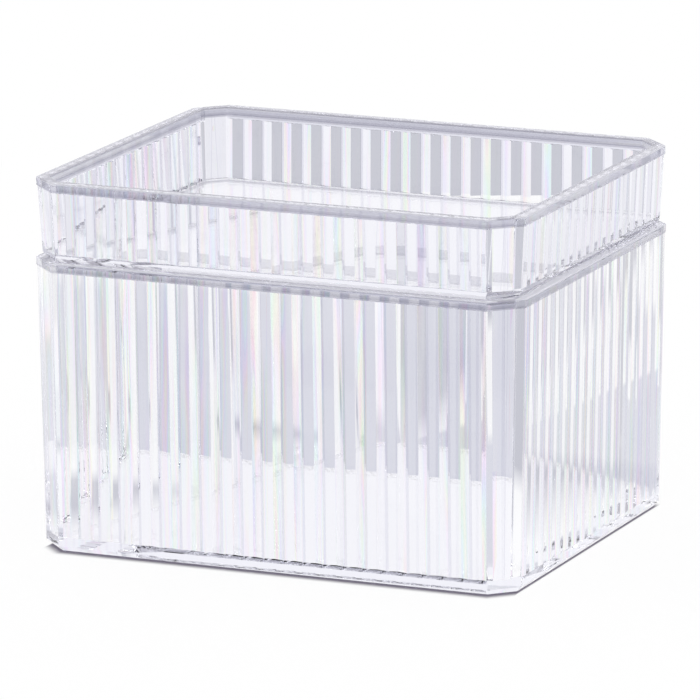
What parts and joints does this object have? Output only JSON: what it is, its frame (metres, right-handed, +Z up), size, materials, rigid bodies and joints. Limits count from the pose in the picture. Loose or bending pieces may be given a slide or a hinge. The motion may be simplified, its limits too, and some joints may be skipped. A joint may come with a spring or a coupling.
{
  "type": "clear storage box with lid",
  "caption": "Clear moulded storage box, rectangular with slanted corners and ribs inside its walls, closed by an open tray that lifts off as its lid.",
  "frame": {"origin": "middle of the box's flat underside, on the table", "axes": "+Z up, the way the lid lifts off; +X along the longer side; the front faces -Y"},
  "size_m": [0.112, 0.093, 0.08],
  "materials": {
    "clear_box": "clear, moulded to a gloss",
    "clear_lid": "clear, moulded to a gloss"
  },
  "bodies": {
    "box": {"box_body": "clear_box"},
    "lid": {"lid_tray": "clear_lid"}
  },
  "joints": [
    {"name": "lid_lift", "type": "slide", "parent": "box", "child": "lid", "axis": [0, 0, 1], "range_m": [0, 0.04]}
  ]
}
